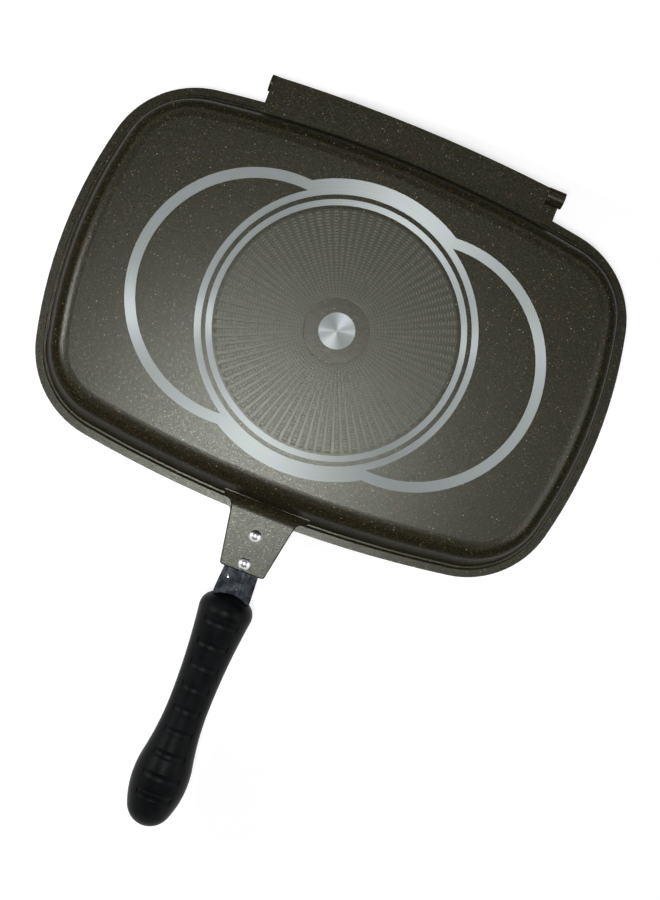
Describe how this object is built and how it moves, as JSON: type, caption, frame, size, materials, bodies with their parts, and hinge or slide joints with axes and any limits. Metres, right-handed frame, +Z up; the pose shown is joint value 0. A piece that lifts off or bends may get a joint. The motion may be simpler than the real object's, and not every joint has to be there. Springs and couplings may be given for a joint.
{
  "type": "double sided flip pan",
  "caption": "Double sided flip pan: deep rectangular cast halves hinged along the back, closing on a seal, each with a strap and grip at the front.",
  "frame": {"origin": "centre of the lower base, on the plane of its raised rings, where the closed pan stands", "axes": "+X along the long side, +Y towards the hinge, +Z up from the lower base to the upper one"},
  "size_m": [0.3612, 0.4716, 0.086],
  "materials": {
    "stone_coating": "dark taupe stone-look non-stick coating with pale specks over cast aluminium, bare turned metal on the raised rings",
    "seal_silicone": "matte dark silicone",
    "pin_steel": "drawn steel rod",
    "strap_steel": "rolled steel strip, lightly polished",
    "rivet_aluminium": "bright domed rivet",
    "black_phenolic": "black moulded phenolic, soft gloss",
    "nut_brass": "turned brass",
    "screw_steel": "zinc plated steel",
    "magnet_nickel": "nickel plated magnet",
    "keeper_steel": "plain steel disc"
  },
  "bodies": {
    "lower_half": {"lower_pan": "stone_coating", "rim_seal": "seal_silicone", "hinge_pin_left": "pin_steel", "hinge_pin_right": "pin_steel", "lower_strap": "strap_steel", "lower_inner_rivet": "rivet_aluminium", "lower_outer_rivet": "rivet_aluminium", "lower_grip": "black_phenolic", "lower_insert_nut": "nut_brass", "lower_grip_screw": "screw_steel", "lower_keeper": "keeper_steel", "lower_keeper_screw": "screw_steel"},
    "upper_half": {"upper_pan": "stone_coating", "upper_strap": "strap_steel", "upper_inner_rivet": "rivet_aluminium", "upper_outer_rivet": "rivet_aluminium", "upper_grip": "black_phenolic", "upper_insert_nut": "nut_brass", "upper_grip_screw": "screw_steel", "upper_magnet": "magnet_nickel", "upper_magnet_screw": "screw_steel"}
  },
  "joints": [
    {"name": "lid_hinge", "type": "hinge", "parent": "lower_half", "child": "upper_half", "pos_m": [0, 0.1317, 0.043], "axis": [-1, 0, 0], "range_deg": [0, 180]}
  ]
}
